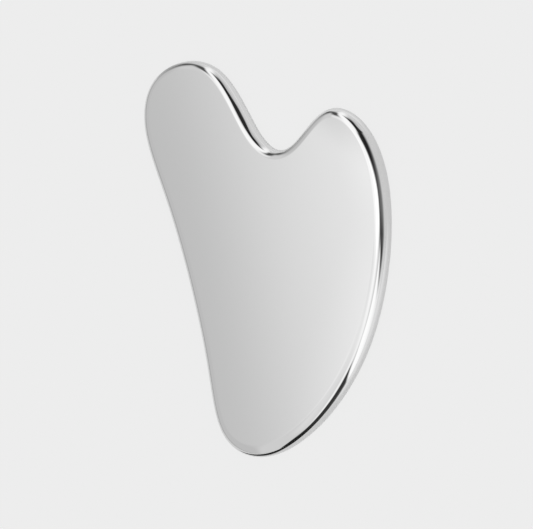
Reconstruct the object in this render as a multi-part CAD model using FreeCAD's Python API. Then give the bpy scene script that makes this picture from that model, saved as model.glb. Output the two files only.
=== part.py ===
import FreeCAD, Part
import math
import os

# A gua sha scraper: one thick steel plate, heart-shaped in plan, with a fully rounded edge. The
# plate lies flat on its back face. X runs across it, Y from its tip to its lobes and Z through
# its thickness, and the origin is under the middle of its outline. All sizes are in millimetres.

V = FreeCAD.Vector
UP = V(0, 0, 1)

# The plate
LENGTH = 95.0  # from the tip to the top of the tall lobe
WIDTH = 66.5  # from the tall lobe's shoulder to the round side
THICKNESS = 5.5  # the edge is a half circle across it

# The outline is one closed smooth curve. Its control points stand on the lines below. A drop is
# measured down from the top, a rise up, an inset in from the left, and a pull is how far a point
# stands outside the plate to draw the curve out to it.
OUTER_CORNER_INSET = 1.6  # the tall lobe's outer corner
OUTER_CORNER_PULL = 0.2
INNER_CORNER_PULL = 1.5  # the tall lobe's inner corner
TALL_LOBE_SPAN = 21.3  # across the tall lobe
SHOULDER_PULL = 1.8  # the widest place on the tall lobe
SHOULDER_DROP = 15.7
HOLLOW_INSET = 8.8  # the upper end of the long hollow side
HOLLOW_DROP = 35.7
HOLLOW_RUN = 38.7  # from there to its lower end
HOLLOW_LEAN = 11.8  # how far it leans in over that run
TIP_INSET = 21.8  # the tip, on the hollow side
TIP_SPAN = 16.8  # across the tip
TIP_PULL = 3.3
TIP_SLANT = 5.7  # how much lower the tip is on the round side
ROUND_SIDE_PULL = 2.7  # the long round side
ROUND_SIDE_DROP = 28.2
ROUND_SIDE_RUN = 45.9  # from its upper end to its lower end
ROUND_SIDE_LEAN = 4.5  # how far it leans in over that run
SHORT_LOBE_DROP = 11.5  # to the top of the short lobe
SHORT_LOBE_OFFSET = 14.7  # from the round side in to the middle of the short lobe
NOTCH_DROP = 27.6  # to the bottom of the notch between the lobes
NOTCH_OFFSET = 9.4  # from the short lobe's middle to the notch's
FLANK_RISE = 4.3  # from the notch's bottom up to the foot of the tall lobe's flank
FLANK_OFFSET = 9.3  # from the notch's middle to that foot

PIECES_PER_SPAN = 3  # each span of the smooth curve becomes this many pairs of arcs
EXTENT_SAMPLES = 64  # per span, where the curve's extent is measured
FLAT = 1e-6  # a flat edge is no higher than this


def control_points():
    """The closed outline's control points, anticlockwise from the tall lobe's outer corner."""
    left, right = -WIDTH / 2, WIDTH / 2
    top, bottom = LENGTH / 2, -LENGTH / 2
    lobe_x = left + OUTER_CORNER_INSET
    hollow_x, hollow_y = left + HOLLOW_INSET, top - HOLLOW_DROP
    tip_x, tip_y = left + TIP_INSET, bottom - TIP_PULL
    round_x, round_y = right + ROUND_SIDE_PULL, top - ROUND_SIDE_DROP
    short_x = right - SHORT_LOBE_OFFSET
    notch_x, notch_y = short_x - NOTCH_OFFSET, top - NOTCH_DROP
    return [
        V(lobe_x, top + OUTER_CORNER_PULL, 0),
        V(left - SHOULDER_PULL, top - SHOULDER_DROP, 0),
        V(hollow_x, hollow_y, 0),
        V(hollow_x + HOLLOW_LEAN, hollow_y - HOLLOW_RUN, 0),
        V(tip_x, tip_y + TIP_SLANT, 0),
        V(tip_x + TIP_SPAN, tip_y, 0),
        V(round_x - ROUND_SIDE_LEAN, round_y - ROUND_SIDE_RUN, 0),
        V(round_x, round_y, 0),
        V(short_x, top - SHORT_LOBE_DROP, 0),
        V(notch_x, notch_y, 0),
        V(notch_x - FLANK_OFFSET, notch_y + FLANK_RISE, 0),
        V(lobe_x + TALL_LOBE_SPAN, top + INNER_CORNER_PULL, 0),
    ]


def on_curve(points, span, share):
    """A point of the closed uniform cubic B-spline and its direction, at a share of one span."""
    a, b, c, d = (points[(span + i) % len(points)] for i in range(-1, 3))
    s, r = share, 1 - share
    place = (a * r**3 + b * (3 * s**3 - 6 * s**2 + 4) + c * (3 * r**3 - 6 * r**2 + 4) + d * s**3) / 6
    heading = (d - c) * s**2 / 2 + (c - b) * (0.5 + s * r) + (b - a) * r**2 / 2
    return place, heading.normalize()


def fitted(points):
    """The control points, stretched and moved so that the curve is LENGTH by WIDTH about the origin."""
    curve = [
        on_curve(points, span, i / EXTENT_SAMPLES)[0]
        for span in range(len(points))
        for i in range(EXTENT_SAMPLES)
    ]
    low_x, high_x = min(p.x for p in curve), max(p.x for p in curve)
    low_y, high_y = min(p.y for p in curve), max(p.y for p in curve)
    across, along = WIDTH / (high_x - low_x), LENGTH / (high_y - low_y)
    return [
        V((p.x - (low_x + high_x) / 2) * across, (p.y - (low_y + high_y) / 2) * along, 0)
        for p in points
    ]


def joint_of_arcs(start, start_way, end, end_way):
    """Where the two arcs meet that leave start and reach end in the given directions."""
    chord = end - start
    both = start_way + end_way
    spread = 2 * (1 - start_way.dot(end_way))
    run = chord.dot(both)
    if spread < FLAT:
        reach = chord.dot(chord) / (2 * run)
    else:
        reach = (math.sqrt(run**2 + spread * chord.dot(chord)) - run) / spread
    return (start + end + (start_way - end_way) * reach) / 2


def outline_arcs():
    """The outline as tangent arcs, each (start, direction at the start, centre, degrees turned)."""
    points = fitted(control_points())
    stations = [
        on_curve(points, span, i / PIECES_PER_SPAN)
        for span in range(len(points))
        for i in range(PIECES_PER_SPAN)
    ]
    arcs = []
    for (start, way), (end, end_way) in zip(stations, stations[1:] + stations[:1]):
        middle = joint_of_arcs(start, way, end, end_way)
        arcs.append(tangent_arc(start, way, middle))
        middle_way = FreeCAD.Rotation(UP, arcs[-1][3]).multVec(way)
        arcs.append(tangent_arc(middle, middle_way, end))
    return arcs


def tangent_arc(start, way, end):
    """The arc from start to end that leaves start in the direction way."""
    inward = UP.cross(way)
    chord = end - start
    radius = chord.dot(chord) / (2 * chord.dot(inward))
    turn = 2 * math.degrees(math.atan2(chord.dot(inward), chord.dot(way)))
    return start, way, start + inward * radius, turn


def edge_section(start, way):
    """The rounded edge's half circle in the upright plane across the outline, from the top face."""
    radius = THICKNESS / 2
    centre = start - way.cross(UP) * radius + UP * radius
    return Part.Arc(centre + UP * radius, start + UP * radius, centre - UP * radius).toShape()


def edge_faces():
    """The rounded edge, one strip turned about each arc's centre."""
    return [
        face
        for start, way, centre, turn in outline_arcs()
        for face in edge_section(start, way).revolve(centre, UP, turn).Faces
    ]


def flat_face(faces, height):
    """The flat face that closes the rounded edge at one height."""
    edges = [
        edge
        for face in faces
        for edge in face.Edges
        if edge.BoundBox.ZLength < FLAT and abs(edge.BoundBox.ZMin - height) < FLAT
    ]
    return Part.Face(Part.Wire(Part.sortEdges(edges)[0]))


def scraper_plate():
    """The whole plate, closed from its rounded edge and its two flat faces."""
    edge = edge_faces()
    shell = Part.makeShell(edge + [flat_face(edge, THICKNESS), flat_face(edge, 0)])
    shell.sewShape()
    plate = Part.makeSolid(shell)
    if plate.Volume < 0:
        plate.reverse()
    return plate


def main():
    """Writes the one piece that the scraper is."""
    os.makedirs("parts", exist_ok=True)
    plate = scraper_plate()
    plate.exportStep("parts/scraper_plate.step")
    print("scraper_plate: valid", plate.isValid(), "volume", round(plate.Volume, 1), "box", plate.BoundBox)


main()
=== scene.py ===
"""The looks of a gua sha scraper: one thick plate of mirror-polished stainless steel.

The plate lies on its back face on a pale floor. X runs across it, Y from its tip to its two
lobes and Z up through its thickness. Lengths are metres, and a name that ends in _mm is in
millimetres.
"""

import logging
import math
from dataclasses import dataclass, field
from enum import Enum
from typing import NamedTuple

import bpy
import numpy as np
from mathutils import Matrix, Vector

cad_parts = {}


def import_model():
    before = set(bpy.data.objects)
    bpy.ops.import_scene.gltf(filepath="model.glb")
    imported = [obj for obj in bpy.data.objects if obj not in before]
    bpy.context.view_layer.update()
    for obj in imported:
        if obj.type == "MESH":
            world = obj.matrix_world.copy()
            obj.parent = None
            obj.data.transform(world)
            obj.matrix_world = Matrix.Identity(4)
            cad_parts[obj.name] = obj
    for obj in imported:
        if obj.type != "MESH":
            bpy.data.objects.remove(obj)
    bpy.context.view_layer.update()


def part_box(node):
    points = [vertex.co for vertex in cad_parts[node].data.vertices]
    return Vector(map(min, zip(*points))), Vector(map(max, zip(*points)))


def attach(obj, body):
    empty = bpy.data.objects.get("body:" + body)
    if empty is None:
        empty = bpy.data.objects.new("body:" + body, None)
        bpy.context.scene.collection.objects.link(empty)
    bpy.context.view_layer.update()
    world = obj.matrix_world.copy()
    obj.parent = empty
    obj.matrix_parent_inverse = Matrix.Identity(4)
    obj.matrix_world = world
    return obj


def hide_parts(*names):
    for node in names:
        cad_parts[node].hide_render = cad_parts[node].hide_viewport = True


log = logging.getLogger("gua_sha_scraper")

MM = 0.001
PALE = "#EDEDED"  # the floor and the backdrop
WHITE = "#FFFFFF"


# --- Helpers for colours, nodes and directions -------------------------------------------------


def linear(code: str) -> tuple[float, float, float, float]:
    """Turns an sRGB hex colour into linear red, green, blue and alpha.

    The formula and its numbers are the sRGB standard's: a straight line for the darkest values
    and a power for all others.

    Args:
        code: six hex digits after a hash sign.

    Returns:
        The linear colour with alpha 1.
    """
    srgb = np.array([int(code[i : i + 2], 16) for i in (1, 3, 5)]) / 255
    low, high = srgb / 12.92, ((srgb + 0.055) / 1.055) ** 2.4
    return (*np.where(srgb <= 0.04045, low, high).tolist(), 1.0)


def add_node(
    tree: bpy.types.NodeTree, kind: str, links: dict | None = None, **settings: object
) -> bpy.types.Node:
    """Adds one node with its settings, socket values and incoming links.

    Args:
        tree: the node tree that gets the node.
        kind: the node's type name.
        links: input socket, by name or number, to the output socket or the constant it takes.
        settings: attributes of the node itself.

    Returns:
        The new node.
    """
    made = tree.nodes.new(kind)
    for name, value in settings.items():
        setattr(made, name, value)
    for name, value in (links or {}).items():
        if isinstance(value, bpy.types.NodeSocket):
            tree.links.new(value, made.inputs[name])
        else:
            made.inputs[name].default_value = value
    return made


def leaning(lean: float, azimuth: float) -> Vector:
    """Works out the direction that leans from straight up towards an azimuth.

    It is the level direction times the sine of the lean, plus straight up times its cosine.

    Args:
        lean: radians from straight up.
        azimuth: radians from +X towards +Y.

    Returns:
        The direction, one unit long.
    """
    level = Vector((math.cos(azimuth), math.sin(azimuth), 0))
    return level * math.sin(lean) + Vector((0, 0, math.cos(lean)))


# --- The plate ---------------------------------------------------------------------------------


@dataclass
class Outline:
    """The plate's outline in plan, a closed smooth curve that twelve control points pull along.

    The points are in millimetres before the curve is stretched to the plate's box.
    """

    points_mm: tuple[tuple[float, float], ...] = (
        (-31.65, 47.7),  # tall lobe, outer corner
        (-35.05, 31.8),  # tall lobe, shoulder
        (-24.45, 11.8),  # long hollow side, upper end
        (-12.65, -26.9),  # long hollow side, lower end
        (-11.45, -45.1),  # tip, hollow side
        (5.35, -50.8),  # tip, round side
        (31.45, -26.6),  # round side, lower end
        (35.95, 19.3),  # round side, upper end
        (18.55, 36.0),  # short lobe, top
        (9.15, 19.9),  # bottom of the notch
        (-0.15, 24.2),  # foot of the tall lobe's flank
        (-10.35, 49.0),  # tall lobe, inner corner
    )
    samples_per_span: int = 400  # where the curve's length is measured

    def curve(self, along: np.ndarray, order: int = 0) -> np.ndarray:
        """Evaluates the uniform cubic B-spline or its first derivative.

        Each span blends four neighbouring control points. With s the share of the span passed
        and r = 1 - s, the weights are r^3/6, (3s^3 - 6s^2 + 4)/6, (3r^3 - 6r^2 + 4)/6 and s^3/6,
        or their derivatives by s.

        Args:
            along: positions on the curve, counted in spans.
            order: 0 for points, 1 for the derivative.

        Returns:
            An array of (position, 2).
        """
        control = np.array(self.points_mm)
        span = np.floor(along).astype(int)
        s = along - span
        r = 1 - s
        if order:
            weights = (-(r**2) / 2, (3 * s**2 - 4 * s) / 2, (4 * r - 3 * r**2) / 2, s**2 / 2)
        else:
            weights = (r**3 / 6, (3 * s**3 - 6 * s**2 + 4) / 6, (3 * r**3 - 6 * r**2 + 4) / 6, s**3 / 6)
        near = [control[(span + step) % len(control)] for step in (-1, 0, 1, 2)]
        return sum(weight[:, None] * point for weight, point in zip(weights, near))

    def spaced(self, count: int, low: Vector, high: Vector) -> tuple[np.ndarray, np.ndarray]:
        """Puts points at even distances along the outline, stretched to the plate's box.

        The lengths of fine steps are added up, and the even distances are read off between them.
        The outward normal is the curve's direction turned clockwise by a quarter turn.

        Args:
            count: how many points go round.
            low: the box's lowest corner, in metres.
            high: the box's highest corner, in metres.

        Returns:
            The points and their outward normals, both (count, 2), in metres.
        """
        spans = len(self.points_mm)
        fine = np.arange(spans * self.samples_per_span) / self.samples_per_span
        raw = self.curve(fine)
        size = np.array(high.xy - low.xy) / np.ptp(raw, axis=0)
        middle = (raw.max(0) + raw.min(0)) / 2
        centre = np.array((high + low).xy) / 2
        steps = np.hypot(*((np.roll(raw, -1, 0) - raw) * size).T)
        passed = np.concatenate([[0.0], np.cumsum(steps)])
        along = np.interp(np.arange(count) / count * passed[-1], passed, np.append(fine, spans))
        points = (self.curve(along) - middle) * size + centre
        ways = self.curve(along, order=1) * size
        ways /= np.hypot(*ways.T)[:, None]
        return points, np.stack([ways[:, 1], -ways[:, 0]], axis=1)


@dataclass
class RoundedEdge:
    """The edge's section, a full half circle from one face to the other."""

    strips: int = 64

    def profile(self, half_height: float) -> tuple[np.ndarray, np.ndarray, np.ndarray]:
        """Works out the section from the front face round to the back face.

        With r half the plate's thickness, the point whose normal leans t from the front face's
        normal is inset r(1 - sin t) from the outline and stands r cos t above the plate's middle.

        Args:
            half_height: half the plate's thickness, in metres.

        Returns:
            The inset from the outline, the height about the middle and the lean of the normal.
        """
        lean = np.linspace(0, math.pi, self.strips + 1)
        return half_height * (1 - np.sin(lean)), half_height * np.cos(lean), lean


@dataclass(frozen=True)
class PolishedStainlessSteel:
    """Stainless steel, ground, tumbled and buffed to a mirror.

    It gives the eye a neutral, slightly darkened picture of the room. The last buffing leaves a
    haze that comes and goes over a few millimetres and a waviness too shallow to feel.
    """

    colour: str = "#D7D7D7"
    roughness: float = 0.035
    haze_mm: float = 7.0  # distance between hazy places
    haze_share: float = 0.35  # how far the roughness moves either way
    haze_span: tuple[float, float] = (0.3, 0.7)  # the noise values between which it moves
    haze_detail: float = 3.0  # finer layers of noise on top of the haze
    wave_mm: float = 11.0  # distance between the crests that the buffing wheel leaves
    wave_height_mm: float = 0.0016  # the bump's, where the noise runs from 0 to 1
    wave_detail: float = 1.0  # finer layers of noise on top of the waves

    def material(self) -> bpy.types.Material:
        """Makes the node material.

        Noise moves the roughness of a plain metal mirror, and a second noise bends its normal.

        Returns:
            The material.
        """
        made = bpy.data.materials.new("mirror_polished_stainless_steel")
        made.use_nodes = True
        tree = made.node_tree
        tree.nodes.clear()
        place = add_node(tree, "ShaderNodeTexCoord").outputs["Object"]
        haze = add_node(
            tree,
            "ShaderNodeTexNoise",
            {"Vector": place, "Scale": 1 / (self.haze_mm * MM), "Detail": self.haze_detail},
        )
        roughness = add_node(
            tree,
            "ShaderNodeMapRange",
            {
                "Value": haze.outputs["Fac"],
                "From Min": self.haze_span[0],
                "From Max": self.haze_span[1],
                "To Min": self.roughness * (1 - self.haze_share),
                "To Max": self.roughness * (1 + self.haze_share),
            },
        )
        wave = add_node(
            tree,
            "ShaderNodeTexNoise",
            {"Vector": place, "Scale": 1 / (self.wave_mm * MM), "Detail": self.wave_detail},
        )
        bump = add_node(
            tree,
            "ShaderNodeBump",
            {"Height": wave.outputs["Fac"], "Distance": self.wave_height_mm * MM},
        )
        steel = add_node(
            tree,
            "ShaderNodeBsdfPrincipled",
            {
                "Base Color": linear(self.colour),
                "Metallic": 1.0,
                "Roughness": roughness.outputs["Result"],
                "Normal": bump.outputs["Normal"],
            },
        )
        add_node(tree, "ShaderNodeOutputMaterial", {"Surface": steel.outputs["BSDF"]})
        return made


@dataclass
class ScraperPlate:
    """The whole scraper, one plate with a fully rounded edge."""

    node: str = "scraper_plate"
    slot: str = "polished_steel"
    outline: Outline = field(default_factory=Outline)
    edge: RoundedEdge = field(default_factory=RoundedEdge)
    finish: PolishedStainlessSteel = field(default_factory=PolishedStainlessSteel)
    columns: int = 1400  # round the outline

    def mesh(self) -> bpy.types.Mesh:
        """Carries the edge's section round the outline and closes both faces.

        A point is the outline's point, moved in along its normal by the section's inset and up
        by the section's height. Its normal leans from straight up towards the outline's normal
        by the section's lean.

        Returns:
            The closed mesh with its exact normals.
        """
        low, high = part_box(self.node)
        rim, outward = self.outline.spaced(self.columns, low, high)
        inset, height, lean = self.edge.profile((high.z - low.z) / 2)
        rows = len(lean)
        points = np.empty((rows, self.columns, 3))
        points[..., :2] = rim - outward * inset[:, None, None]
        points[..., 2] = ((high.z + low.z) / 2 + height)[:, None]
        normals = np.empty_like(points)
        normals[..., :2] = outward * np.sin(lean)[:, None, None]
        normals[..., 2] = np.cos(lean)[:, None]
        number = np.arange(rows * self.columns).reshape(rows, self.columns)
        ahead = np.roll(number, -1, axis=1)
        quads = np.stack([number[:-1], number[1:], ahead[1:], ahead[:-1]], axis=-1).reshape(-1, 4)
        faces = [*quads.tolist(), number[0].tolist(), number[-1, ::-1].tolist()]
        made = bpy.data.meshes.new(self.node)
        made.from_pydata(points.reshape(-1, 3), [], faces)
        made.shade_smooth()
        made.normals_split_custom_set_from_vertices(normals.reshape(-1, 3))
        return made

    def build(self) -> bpy.types.Object:
        """Makes the plate's object and stands it for the CAD plate.

        Returns:
            The plate.
        """
        plate = bpy.data.objects.new("polished_plate", self.mesh())
        bpy.context.scene.collection.objects.link(plate)
        plate.data.materials.append(self.finish.material())
        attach(plate, "root")
        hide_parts(self.node)
        return plate


# --- The studio --------------------------------------------------------------------------------


class Ray(Enum):
    """The kinds of ray that the studio tells apart, by their sockets on the light path."""

    EYE = "Is Camera Ray"
    MIRRORED = "Is Glossy Ray"
    THROUGH_GLASS = "Is Transmission Ray"


class Side(NamedTuple):
    """One side of a card, as the plane that it lies in."""

    inward: Vector  # the plane's unit normal, pointing in to the card
    distance: float  # of the plane from the origin, along that normal
    fade: float  # how wide the card fades out across it


@dataclass(frozen=True)
class Card:
    """One four-sided card or light panel far from the plate, seen only in the steel.

    A corner tells how far one leans from straight overhead to look at it, in degrees towards +X
    and towards +Y. The corners run anticlockwise on a plan. Each side fades out over its own
    width, in sines of the angle, from the side between the first two corners on. Level 1 is as
    bright as white.
    """

    name: str
    corners: tuple[tuple[float, float], ...]
    fades: tuple[float, float, float, float]
    level: float

    def sides(self) -> list[Side]:
        """Works out each side's plane, which holds both its corners and the plate.

        Returns:
            The four sides.
        """
        ways = [
            leaning(math.radians(math.hypot(east, north)), math.atan2(north, east))
            for east, north in self.corners
        ]
        pairs = zip(ways, ways[1:] + ways[:1], self.fades)
        return [Side(way.cross(after).normalized(), 0.0, fade) for way, after, fade in pairs]


@dataclass(frozen=True)
class PaintedFloorReflection:
    """One four-sided patch painted into the floor beside the plate for mirrored rays only, a painted
    reflection that only the steel shows.

    Its corners run anticlockwise on a plan, and are measured from the middle of the plate.
    """

    name: str
    corners_mm: tuple[tuple[float, float], ...]
    fade_mm: float
    level: float

    def sides(self) -> list[Side]:
        """Works out each side's upright plane.

        Returns:
            The four sides.
        """
        low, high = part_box("scraper_plate")
        corners = [(low + high).xy / 2 + Vector(corner) * MM for corner in self.corners_mm]
        found = []
        for corner, after in zip(corners, corners[1:] + corners[:1]):
            along = (after - corner).normalized()
            inward = Vector((-along.y, along.x, 0))
            found.append(Side(inward, inward.xy.dot(corner), self.fade_mm * MM))
        return found


def share_within(
    tree: bpy.types.NodeTree, place: bpy.types.NodeSocket, sides: list[Side]
) -> bpy.types.NodeSocket:
    """Adds the nodes that tell how much of a card lies at a place or in a direction.

    The step across a side is smooth in the distance from its plane, and the share is the product
    of the sides' steps.

    Args:
        tree: the node tree.
        place: the socket that gives the place or the direction.
        sides: the card's sides.

    Returns:
        The socket with the share.
    """
    share = 1.0
    for side in sides:
        along = add_node(
            tree, "ShaderNodeVectorMath", {0: place, 1: side.inward}, operation="DOT_PRODUCT"
        )
        step = add_node(
            tree,
            "ShaderNodeMapRange",
            {
                "Value": along.outputs["Value"],
                "From Min": side.distance - side.fade / 2,
                "From Max": side.distance + side.fade / 2,
            },
            interpolation_type="SMOOTHSTEP",
        )
        product = add_node(
            tree, "ShaderNodeMath", {0: share, 1: step.outputs["Result"]}, operation="MULTIPLY"
        )
        share = product.outputs[0]
    return share


@dataclass(frozen=True)
class MattPalePaper:
    """Matt paper, which gives the eye one even pale tone under a faint shadow.

    The steel shows the paper with its full shadow, and the reflections painted on it for mirrored rays
    only.
    """

    colour: str = PALE
    shadow_share: float = 0.05  # how much of its look comes from the light on it
    # Painted reflections: dark, grey and white patches painted into the paper for mirrored rays only, which
    # the steel shows as bands.
    painted_reflections: tuple[PaintedFloorReflection, ...] = (
        PaintedFloorReflection("painted_dark_reflection_at_tip", ((25, -5000), (3500, -3800), (3, -53), (-13, -52)), 3.0, 0.02),
        PaintedFloorReflection("painted_white_reflection_at_lobes", ((34, 30), (105, 525), (-110, 595), (-27, 81)), 12.0, 1.05),
        PaintedFloorReflection("painted_white_reflection_at_side", ((42, 5), (27, -47), (225, -275), (295, -140)), 12.0, 1.05),
        PaintedFloorReflection("painted_grey_reflection_behind", ((-52, 60), (-28, 43), (-115, 395), (-485, 250)), 6.0, 0.5),
        PaintedFloorReflection("painted_white_reflection_in_notch", ((-13, 53), (5, 24), (7, 26), (26, 60)), 1.5, 0.9),
    )

    def material(self) -> bpy.types.Material:
        """Makes the node material.

        Returns:
            The material.
        """
        made = bpy.data.materials.new("matt_pale_paper")
        made.use_nodes = True
        tree = made.node_tree
        tree.nodes.clear()
        colour = linear(self.colour)
        lit = add_node(tree, "ShaderNodeBsdfDiffuse", {"Color": colour})
        even = add_node(tree, "ShaderNodeEmission", {"Color": colour})
        path = add_node(tree, "ShaderNodeLightPath")
        direct = add_node(
            tree,
            "ShaderNodeMath",
            {0: path.outputs[Ray.EYE.value], 1: path.outputs[Ray.THROUGH_GLASS.value]},
            operation="MAXIMUM",
        )
        evenness = add_node(
            tree, "ShaderNodeMath", {0: direct.outputs[0], 1: 1 - self.shadow_share}, operation="MULTIPLY"
        )
        top = add_node(
            tree,
            "ShaderNodeMixShader",
            {0: evenness.outputs[0], 1: lit.outputs[0], 2: even.outputs[0]},
        )
        place = add_node(tree, "ShaderNodeTexCoord").outputs["Object"]
        # Each painted reflection is emission mixed in only for mirrored rays, so the steel shows it and the
        # camera does not.
        for card in self.painted_reflections:
            share = add_node(
                tree,
                "ShaderNodeMath",
                {0: share_within(tree, place, card.sides()), 1: path.outputs[Ray.MIRRORED.value]},
                operation="MULTIPLY",
            )
            reflection_paint = add_node(
                tree,
                "ShaderNodeEmission",
                {"Color": linear(WHITE), "Strength": card.level},
                label=card.name,
            )
            top = add_node(
                tree,
                "ShaderNodeMixShader",
                {0: share.outputs[0], 1: top.outputs[0], 2: reflection_paint.outputs[0]},
            )
        add_node(tree, "ShaderNodeOutputMaterial", {"Surface": top.outputs[0]})
        return made


@dataclass
class Floor:
    """The pale floor that the plate lies on."""

    side: float = 40.0
    finish: MattPalePaper = field(default_factory=MattPalePaper)

    def build(self) -> bpy.types.Object:
        """Makes the floor, level with the plate's back face.

        Returns:
            The floor.
        """
        low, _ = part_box("scraper_plate")
        reach = self.side / 2
        plan = ((-reach, -reach), (reach, -reach), (reach, reach), (-reach, reach))
        corners = [(x, y, low.z) for x, y in plan]
        shape = bpy.data.meshes.new("floor")
        shape.from_pydata(corners, [], [range(len(corners))])
        shape.materials.append(self.finish.material())
        made = bpy.data.objects.new("floor", shape)
        bpy.context.scene.collection.objects.link(made)
        return made


@dataclass
class KeyLamp:
    """The wide soft lamp overhead, in whose place the steel shows the overhead panel.

    What a sun gives a level floor is its energy times the cosine of its lean, over pi.
    """

    light_share: float = 0.4  # of the light on the floor
    lean: float = 28.0  # degrees from straight overhead
    azimuth: float = -25.0  # degrees from +X towards +Y
    softness: float = 50.0  # degrees across

    def build(self) -> bpy.types.Object:
        """Makes the lamp.

        Returns:
            The lamp.
        """
        lean = math.radians(self.lean)
        lamp = bpy.data.lights.new("key_lamp", "SUN")
        lamp.energy = math.pi * self.light_share / math.cos(lean)
        lamp.angle = math.radians(self.softness)
        made = bpy.data.objects.new("key_lamp", lamp)
        bpy.context.scene.collection.objects.link(made)
        towards = leaning(lean, math.radians(self.azimuth))
        made.rotation_euler = towards.to_track_quat("Z", "Y").to_euler()
        made.visible_glossy = False
        return made


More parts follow.
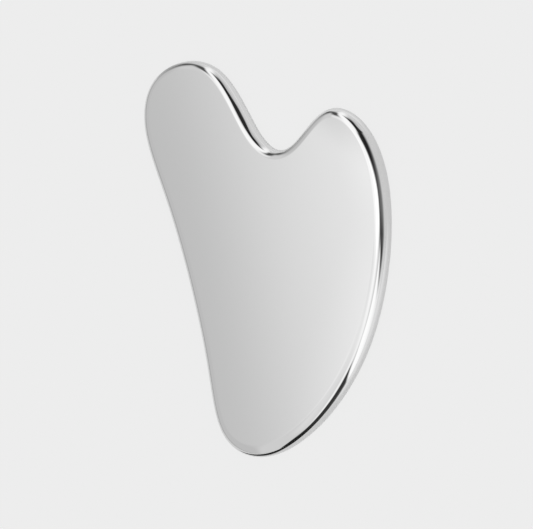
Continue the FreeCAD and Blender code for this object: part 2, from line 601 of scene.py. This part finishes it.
@dataclass
class Room:
    """Even white light from all round, a pale backdrop, and what polished steel needs to show.

    The steel shows two plain walls, one darker than the other, with the cards over them in order.
    """

    light_share: float = 0.6  # of the light on the floor
    wall_levels: tuple[float, float] = (0.73, 0.89)  # the darker wall, then the lighter one
    wall_azimuth: float = 6.0  # the lighter wall's middle, in degrees from +X towards +Y
    wall_edge: float = -0.53  # where the lighter wall starts, as a sine towards its middle
    wall_softness: float = 0.12  # how wide it fades out there, in sines
    cards: tuple[Card, ...] = (
        Card("overhead_panel", ((27, 12), (-15, 30), (-26, 6), (21, -18)), (0.25, 0.08, 0.45, 0.03), 1.85),
        Card("overhead_sheet", ((4, -54), (20, 4), (-4, 11), (-28, 18)), (1.5, 0.18, 0.16, 0.15), 1.05),
        Card("left_sheet", ((-27, -6), (-1, -6), (-16, 5), (-30, 54)), (0.2, 0.03, 1.35, 0.18), 1.25),
        Card("right_panel", ((52, -71), (82, -55), (45, 31), (36, -23)), (0.2, 0.95, 0.1, 0.03), 1.45),
        Card("grey_card", ((-1, 71), (33, 3), (84, 1), (30, 63)), (0.03, 0.1, 0.95, 0.32), 0.2),
        Card("left_flag", ((-19, 75), (-17, 77), (-38, 70), (-81, -34)), (0.4, 0.08, 1.5, 0.6), 0.0),
        Card("strip_panel", ((7, 105), (1, 99), (-24, 10), (2, 4)), (0.03, 0.43, 0.09, 0.24), 1.38),
        Card("lobe_flag", ((12, 28), (31, 12), (41, 59), (-4, 59)), (0.03, 0.42, 0.21, 0.09), 0.02),
        Card("right_flag", ((28, 11), (33, 8), (67, -17), (76, 3)), (0.24, 0.11, 0.43, 0.2), 0.04),
        Card("far_left_flag", ((-34, 54), (-21, 72), (-72, 77), (-96, 66)), (0.35, 0.2, 0.2, 0.5), 0.0),
        Card("strip_flag", ((-14, 38), (-12, 67), (-31, 69), (-21, 35)), (0.1, 0.2, 0.14, 0.3), 0.1),
        Card("tip_flag", ((5, -73), (54, -78), (62, -69), (33, -31)), (0.03, 0.55, 0.06, 0.03), 0.05),
        Card("low_tip_flag", ((-5, -81), (-20, -102), (53, -76), (6, -66)), (0.03, 0.03, 0.25, 0.08), 0.02),
        Card("slim_strip", ((14, -66), (31, -46), (24, 17), (17, 13)), (0.11, 0.18, 0.43, 0.15), 1.3),
        Card("low_right_sheet", ((50, 32), (84, -15), (88, 67), (26, 62)), (0.34, 0.03, 0.03, 0.5), 0.85),
        Card("lobe_flag_tab", ((-4, 29), (21, 20), (12, 44), (5, 35)), (0.17, 0.23, 0.12, 0.03), 0.03),
        Card("lobe_flag_wedge", ((7, 39), (11, 36), (35, 58), (34, 60)), (0.68, 0.03, 0.1, 0.03), 0.03),
        Card("lobe_sheet", ((16, 62), (21, 56), (33, 57), (27, 73)), (0.03, 0.03, 0.03, 0.29), 0.72),
    )

    def mirrored_level(self, tree: bpy.types.NodeTree) -> bpy.types.NodeSocket:
        """Adds the nodes that tell how bright the steel shows each direction.

        Args:
            tree: the world's node tree.

        Returns:
            The socket with the level.
        """
        way = add_node(tree, "ShaderNodeTexCoord").outputs["Generated"]
        towards = leaning(math.pi / 2, math.radians(self.wall_azimuth))
        shown, lighter = self.wall_levels
        layers = [("light_wall", [Side(towards, self.wall_edge, self.wall_softness)], lighter)]
        layers += [(card.name, card.sides(), card.level) for card in self.cards]
        for name, sides, level in layers:
            # The sockets of plain numbers are 0 for the share, and 2 and 3 for what it mixes.
            mixed = add_node(
                tree,
                "ShaderNodeMix",
                {0: share_within(tree, way, sides), 2: shown, 3: level},
                data_type="FLOAT",
                label=name,
            )
            shown = mixed.outputs[0]
        return shown

    def build(self) -> bpy.types.World:
        """Makes the world: its light, what the steel shows and what the camera sees.

        Returns:
            The world.
        """
        made = bpy.data.worlds.new("studio")
        made.use_nodes = True
        tree = made.node_tree
        tree.nodes.clear()
        path = add_node(tree, "ShaderNodeLightPath")
        light = add_node(
            tree, "ShaderNodeBackground", {"Color": linear(WHITE), "Strength": self.light_share}
        )
        mirrored = add_node(
            tree, "ShaderNodeBackground", {"Color": linear(WHITE), "Strength": self.mirrored_level(tree)}
        )
        backdrop = add_node(tree, "ShaderNodeBackground", {"Color": linear(PALE)})
        around = add_node(
            tree,
            "ShaderNodeMixShader",
            {0: path.outputs[Ray.MIRRORED.value], 1: light.outputs[0], 2: mirrored.outputs[0]},
        )
        direct = add_node(
            tree,
            "ShaderNodeMath",
            {0: path.outputs[Ray.EYE.value], 1: path.outputs[Ray.THROUGH_GLASS.value]},
            operation="MAXIMUM",
        )
        seen = add_node(
            tree,
            "ShaderNodeMixShader",
            {0: direct.outputs[0], 1: around.outputs[0], 2: backdrop.outputs[0]},
        )
        add_node(tree, "ShaderNodeOutputWorld", {"Surface": seen.outputs[0]})
        bpy.context.scene.world = made
        return made


@dataclass
class Viewpoint:
    """The camera, high over the round side and turned so that the lobes point up."""

    azimuth: float = 77.58  # degrees, where 0 looks along +Y and 90 along -X
    elevation: float = 58.03  # degrees above the floor
    roll: float = -79.33  # degrees about the line of sight
    distance_mm: float = 262.75  # from what the camera is aimed at
    aim_mm: tuple[float, float] = (1.86, -3.80)  # from the middle of the plate
    focal_length_mm: float = 77.32  # of a lens before a sensor 36 mm wide
    clip_start: float = 0.01

    def build(self) -> bpy.types.Object:
        """Makes the scene's camera.

        Returns:
            The camera.
        """
        low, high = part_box("scraper_plate")
        aim = (low + high) / 2 + Vector((*self.aim_mm, 0)) * MM
        around, up = math.radians(self.azimuth), math.radians(self.elevation)
        back = Vector((math.sin(around) * math.cos(up), -math.cos(around) * math.cos(up), math.sin(up)))
        lens = bpy.data.cameras.new("camera")
        lens.lens = self.focal_length_mm
        lens.clip_start = self.clip_start
        made = bpy.data.objects.new("camera", lens)
        bpy.context.scene.collection.objects.link(made)
        facing = back.to_track_quat("Z", "Y").to_matrix()
        made.matrix_world = Matrix.Translation(aim + back * self.distance_mm * MM) @ (
            facing @ Matrix.Rotation(math.radians(self.roll), 3, "Z")
        ).to_4x4()
        bpy.context.scene.camera = made
        return made


def main() -> None:
    """Builds the plate, the studio and the camera."""
    logging.basicConfig(level=logging.INFO, format="%(message)s")
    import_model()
    plate = ScraperPlate().build()
    log.info("%s: %d faces", plate.name, len(plate.data.polygons))
    for part in (Floor(), KeyLamp(), Room(), Viewpoint()):
        log.info("%s is in place", part.build().name)
    bpy.context.scene.view_settings.view_transform = "Standard"
    bpy.context.view_layer.update()


if __name__ == "__main__":
    main()
